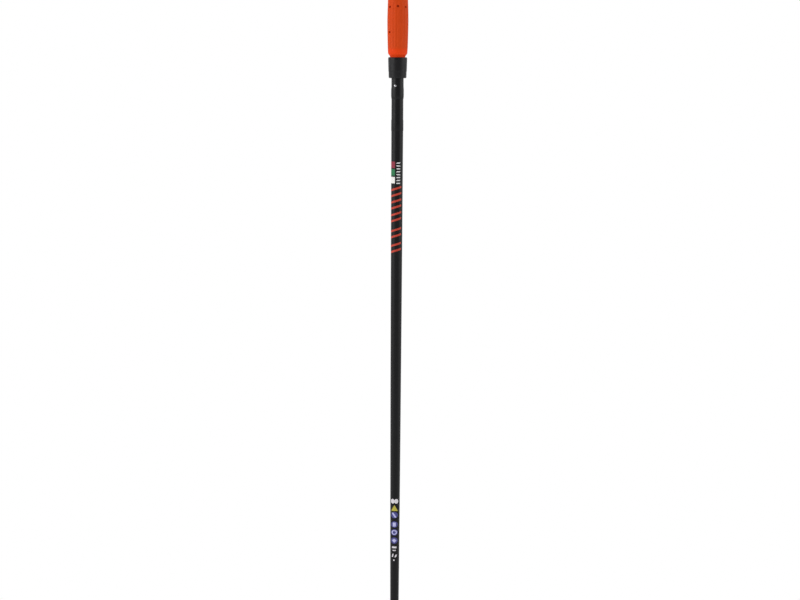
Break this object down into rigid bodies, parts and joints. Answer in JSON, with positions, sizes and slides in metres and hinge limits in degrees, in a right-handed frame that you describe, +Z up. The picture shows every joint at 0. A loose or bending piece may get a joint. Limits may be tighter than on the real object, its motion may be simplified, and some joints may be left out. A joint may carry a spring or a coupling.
{
  "type": "ski pole",
  "caption": "Slim tapered ski pole with a fluted grip, wrist strap and wedge lock, riveted collar, turning snow basket and spiked ferrule.",
  "frame": {"origin": "the point of the spike, on the shaft's axis, where the pole is planted", "axes": "+Z up the shaft towards the grip, -Y the front, +Y the side where the wrist strap hangs, +X the grip's right side seen from the front"},
  "size_m": [0.086, 0.0965, 1.2],
  "materials": {
    "cap_nylon": "moulded black nylon, fine texture",
    "screw_steel": "blackened steel",
    "wedge_nylon": "moulded black nylon",
    "core_polypropylene": "moulded black polypropylene",
    "grip_elastomer": "moulded orange elastomer, satin, fluted",
    "pin_steel": "ground",
    "strap_webbing": "woven black polyester webbing",
    "strap_lining": "black brushed knit over foam",
    "keeper_nylon": "moulded black nylon",
    "collar_polypropylene": "moulded black polypropylene, satin",
    "sleeve_vinyl": "shrunk black vinyl, satin",
    "rivet_aluminium": "polished",
    "shaft_enamel": "black enamel over aluminium, satin",
    "plug_polyethylene": "moulded",
    "band_vinyl": "black vinyl film",
    "ferrule_nylon": "moulded black nylon",
    "sleeve_steel": "turned",
    "spike_steel": "hardened, ground",
    "clip_steel": "stamped spring steel",
    "hub_rubber": "moulded black rubber",
    "basket_polyethylene": "moulded black polyethylene"
  },
  "bodies": {
    "pole": {"shaft": "shaft_enamel", "shaft_top_plug": "plug_polyethylene", "shaft_foot_plug": "plug_polyethylene", "shaft_band": "band_vinyl", "neck_sleeve": "sleeve_vinyl", "grip_collar": "collar_polypropylene", "neck_rivet": "rivet_aluminium", "grip_core": "core_polypropylene", "grip_shell": "grip_elastomer", "head_cap": "cap_nylon", "cap_screws": "screw_steel", "strap_pin": "pin_steel", "strap_anchor": "strap_webbing", "ferrule": "ferrule_nylon", "spike_sleeve": "sleeve_steel", "spike": "spike_steel", "basket_clip": "clip_steel"},
    "strap_lock": {"strap_wedge": "wedge_nylon"},
    "strap": {"wrist_strap": "strap_webbing", "strap_pad": "strap_lining"},
    "keeper": {"strap_keeper": "keeper_nylon"},
    "basket": {"basket_hub": "hub_rubber", "basket_disc": "basket_polyethylene"}
  },
  "joints": [
    {"name": "wedge_lift", "type": "slide", "parent": "pole", "child": "strap_lock", "axis": [0, 0, 1], "range_m": [0, 0.009]},
    {"name": "strap_swing", "type": "hinge", "parent": "pole", "child": "strap", "pos_m": [0, 0.0252, 1.178], "axis": [1, 0, 0], "range_deg": [0, 150]},
    {"name": "keeper_slide", "type": "slide", "parent": "strap", "child": "keeper", "axis": [0, 0, -1], "range_m": [0, 0.011]},
    {"name": "basket_spin", "type": "hinge", "parent": "pole", "child": "basket", "pos_m": [0, 0, 0.0475], "axis": [0, 0, 1], "continuous": true}
  ]
}
